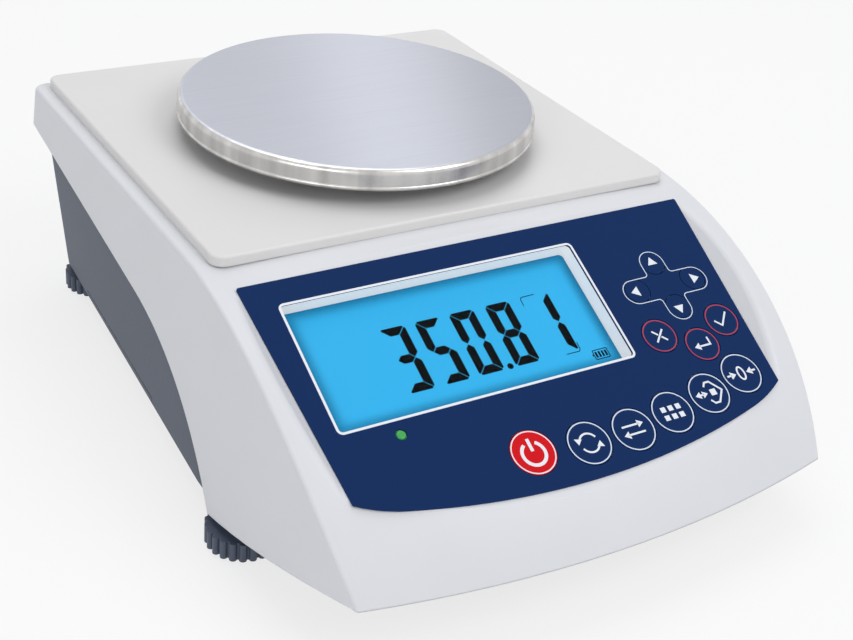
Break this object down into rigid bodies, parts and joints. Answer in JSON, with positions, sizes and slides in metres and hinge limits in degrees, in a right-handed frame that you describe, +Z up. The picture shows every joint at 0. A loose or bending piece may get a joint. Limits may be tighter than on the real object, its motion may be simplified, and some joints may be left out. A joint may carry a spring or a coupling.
{
  "type": "laboratory balance",
  "caption": "Precision laboratory balance with a round lift-off pan, sloping keypad panel, sunken display and screw feet.",
  "frame": {"origin": "on the bench under the middle of the balance", "axes": "+X to the right seen from the user, +Y from the front to the rear, +Z up"},
  "size_m": [0.1898, 0.2462, 0.0903],
  "materials": {
    "cover_plastic": "light grey moulded plastic with a satin face",
    "plate_plastic": "light grey moulded plastic with a satin face",
    "base_plastic": "slate grey moulded plastic, fine spark texture",
    "pan_steel": "brushed stainless steel",
    "cast_aluminium": "die-cast aluminium, as cast",
    "aluminium": "milled aluminium",
    "rubber": "black rubber",
    "steel": "zinc-plated steel",
    "circuit_board": "green solder mask on glass laminate",
    "black_plastic": "black moulded plastic",
    "battery_wrap": "shrink-wrapped rechargeable cells",
    "window_film": "clear hard-coated sheet",
    "display_glass": "liquid crystal glass, lit blue from behind",
    "backlight": "white light guide",
    "overlay_film": "dark blue printed polyester",
    "power_key_film": "red printed polyester",
    "lamp_green": "green diffused lamp",
    "foot_plastic": "dark slate moulded plastic",
    "level_plastic": "white moulded plastic",
    "level_liquid": "clear yellow-green liquid"
  },
  "bodies": {
    "housing": {"top_cover": "cover_plastic", "deck_plate": "plate_plastic", "base_housing": "base_plastic", "pan_support": "cast_aluminium", "support_pads": "rubber", "support_screws": "steel", "load_arm": "aluminium", "cell_spacers": "aluminium", "load_cell": "aluminium", "seat_plate": "steel", "cell_screws": "steel", "seat_screws": "steel", "stop_screw": "steel", "main_board": "circuit_board", "key_board": "circuit_board", "board_chips": "black_plastic", "board_screws": "steel", "key_board_screws": "steel", "key_switches": "black_plastic", "power_socket": "black_plastic", "battery_pack": "battery_wrap", "display_window": "window_film", "display_glass": "display_glass", "backlight": "backlight", "display_tray": "black_plastic", "keypad_overlay": "overlay_film", "status_lamp": "lamp_green", "housing_screws": "steel", "level_cup": "level_plastic", "level_liquid": "level_liquid", "level_glass": "window_film"},
    "pan": {"weighing_pan": "pan_steel"},
    "door": {"battery_door": "base_plastic"},
    "power_key_cap": {"power_key": "power_key_film"},
    "mode_key_cap": {"mode_key": "overlay_film"},
    "unit_key_cap": {"unit_key": "overlay_film"},
    "count_key_cap": {"count_key": "overlay_film"},
    "tare_key_cap": {"tare_key": "overlay_film"},
    "zero_key_cap": {"zero_key": "overlay_film"},
    "escape_key_cap": {"escape_key": "overlay_film"},
    "enter_key_cap": {"enter_key": "overlay_film"},
    "set_key_cap": {"set_key": "overlay_film"},
    "up_arrow_key_cap": {"up_arrow_key": "overlay_film"},
    "down_arrow_key_cap": {"down_arrow_key": "overlay_film"},
    "left_arrow_key_cap": {"left_arrow_key": "overlay_film"},
    "right_arrow_key_cap": {"right_arrow_key": "overlay_film"},
    "front_right_pad": {"front_right_foot_pad": "rubber"},
    "front_right_knob": {"front_right_foot_knob": "foot_plastic"},
    "front_left_pad": {"front_left_foot_pad": "rubber"},
    "front_left_knob": {"front_left_foot_knob": "foot_plastic"},
    "rear_right_pad": {"rear_right_foot_pad": "rubber"},
    "rear_right_knob": {"rear_right_foot_knob": "foot_plastic"},
    "rear_left_pad": {"rear_left_foot_pad": "rubber"},
    "rear_left_knob": {"rear_left_foot_knob": "foot_plastic"}
  },
  "joints": [
    {"name": "pan_lift", "type": "slide", "parent": "housing", "child": "pan", "axis": [0, 0, 1], "range_m": [0, 0.02]},
    {"name": "battery_door_slide", "type": "slide", "parent": "housing", "child": "door", "axis": [-1, 0, 0], "range_m": [0, 0.066]},
    {"name": "power_key_press", "type": "slide", "parent": "housing", "child": "power_key_cap", "axis": [0, 0.4384, -0.8988], "range_m": [0, 0.0004], "stiffness_N_per_m": 800},
    {"name": "mode_key_press", "type": "slide", "parent": "housing", "child": "mode_key_cap", "axis": [0, 0.4384, -0.8988], "range_m": [0, 0.0004], "stiffness_N_per_m": 800},
    {"name": "unit_key_press", "type": "slide", "parent": "housing", "child": "unit_key_cap", "axis": [0, 0.4384, -0.8988], "range_m": [0, 0.0004], "stiffness_N_per_m": 800},
    {"name": "count_key_press", "type": "slide", "parent": "housing", "child": "count_key_cap", "axis": [0, 0.4384, -0.8988], "range_m": [0, 0.0004], "stiffness_N_per_m": 800},
    {"name": "tare_key_press", "type": "slide", "parent": "housing", "child": "tare_key_cap", "axis": [0, 0.4384, -0.8988], "range_m": [0, 0.0004], "stiffness_N_per_m": 800},
    {"name": "zero_key_press", "type": "slide", "parent": "housing", "child": "zero_key_cap", "axis": [0, 0.4384, -0.8988], "range_m": [0, 0.0004], "stiffness_N_per_m": 800},
    {"name": "escape_key_press", "type": "slide", "parent": "housing", "child": "escape_key_cap", "axis": [0, 0.4384, -0.8988], "range_m": [0, 0.0004], "stiffness_N_per_m": 800},
    {"name": "enter_key_press", "type": "slide", "parent": "housing", "child": "enter_key_cap", "axis": [0, 0.4384, -0.8988], "range_m": [0, 0.0004], "stiffness_N_per_m": 800},
    {"name": "set_key_press", "type": "slide", "parent": "housing", "child": "set_key_cap", "axis": [0, 0.4384, -0.8988], "range_m": [0, 0.0004], "stiffness_N_per_m": 800},
    {"name": "up_arrow_key_press", "type": "slide", "parent": "housing", "child": "up_arrow_key_cap", "axis": [0, 0.4384, -0.8988], "range_m": [0, 0.0004], "stiffness_N_per_m": 800},
    {"name": "down_arrow_key_press", "type": "slide", "parent": "housing", "child": "down_arrow_key_cap", "axis": [0, 0.4384, -0.8988], "range_m": [0, 0.0004], "stiffness_N_per_m": 800},
    {"name": "left_arrow_key_press", "type": "slide", "parent": "housing", "child": "left_arrow_key_cap", "axis": [0, 0.4384, -0.8988], "range_m": [0, 0.0004], "stiffness_N_per_m": 800},
    {"name": "right_arrow_key_press", "type": "slide", "parent": "housing", "child": "right_arrow_key_cap", "axis": [0, 0.4384, -0.8988], "range_m": [0, 0.0004], "stiffness_N_per_m": 800},
    {"name": "front_right_foot_drop", "type": "slide", "parent": "housing", "child": "front_right_pad", "axis": [0, 0, -1], "range_m": [0, 0.005]},
    {"name": "front_right_foot_turn", "type": "hinge", "parent": "front_right_pad", "child": "front_right_knob", "pos_m": [0.0837, -0.0518, 0.0038], "axis": [0, 0, -1], "range_deg": [0, 1800]},
    {"name": "front_left_foot_drop", "type": "slide", "parent": "housing", "child": "front_left_pad", "axis": [0, 0, -1], "range_m": [0, 0.005]},
    {"name": "front_left_foot_turn", "type": "hinge", "parent": "front_left_pad", "child": "front_left_knob", "pos_m": [-0.0837, -0.0518, 0.0038], "axis": [0, 0, -1], "range_deg": [0, 1800]},
    {"name": "rear_right_foot_drop", "type": "slide", "parent": "housing", "child": "rear_right_pad", "axis": [0, 0, -1], "range_m": [0, 0.005]},
    {"name": "rear_right_foot_turn", "type": "hinge", "parent": "rear_right_pad", "child": "rear_right_knob", "pos_m": [0.0708, 0.106, 0.0038], "axis": [0, 0, -1], "range_deg": [0, 1800]},
    {"name": "rear_left_foot_drop", "type": "slide", "parent": "housing", "child": "rear_left_pad", "axis": [0, 0, -1], "range_m": [0, 0.005]},
    {"name": "rear_left_foot_turn", "type": "hinge", "parent": "rear_left_pad", "child": "rear_left_knob", "pos_m": [-0.0708, 0.106, 0.0038], "axis": [0, 0, -1], "range_deg": [0, 1800]}
  ],
  "couplings": [
    {"joint": "front_right_foot_turn", "follows": "front_right_foot_drop", "rad_per_m": 6283.2},
    {"joint": "front_left_foot_turn", "follows": "front_left_foot_drop", "rad_per_m": 6283.2},
    {"joint": "rear_right_foot_turn", "follows": "rear_right_foot_drop", "rad_per_m": 6283.2},
    {"joint": "rear_left_foot_turn", "follows": "rear_left_foot_drop", "rad_per_m": 6283.2}
  ]
}
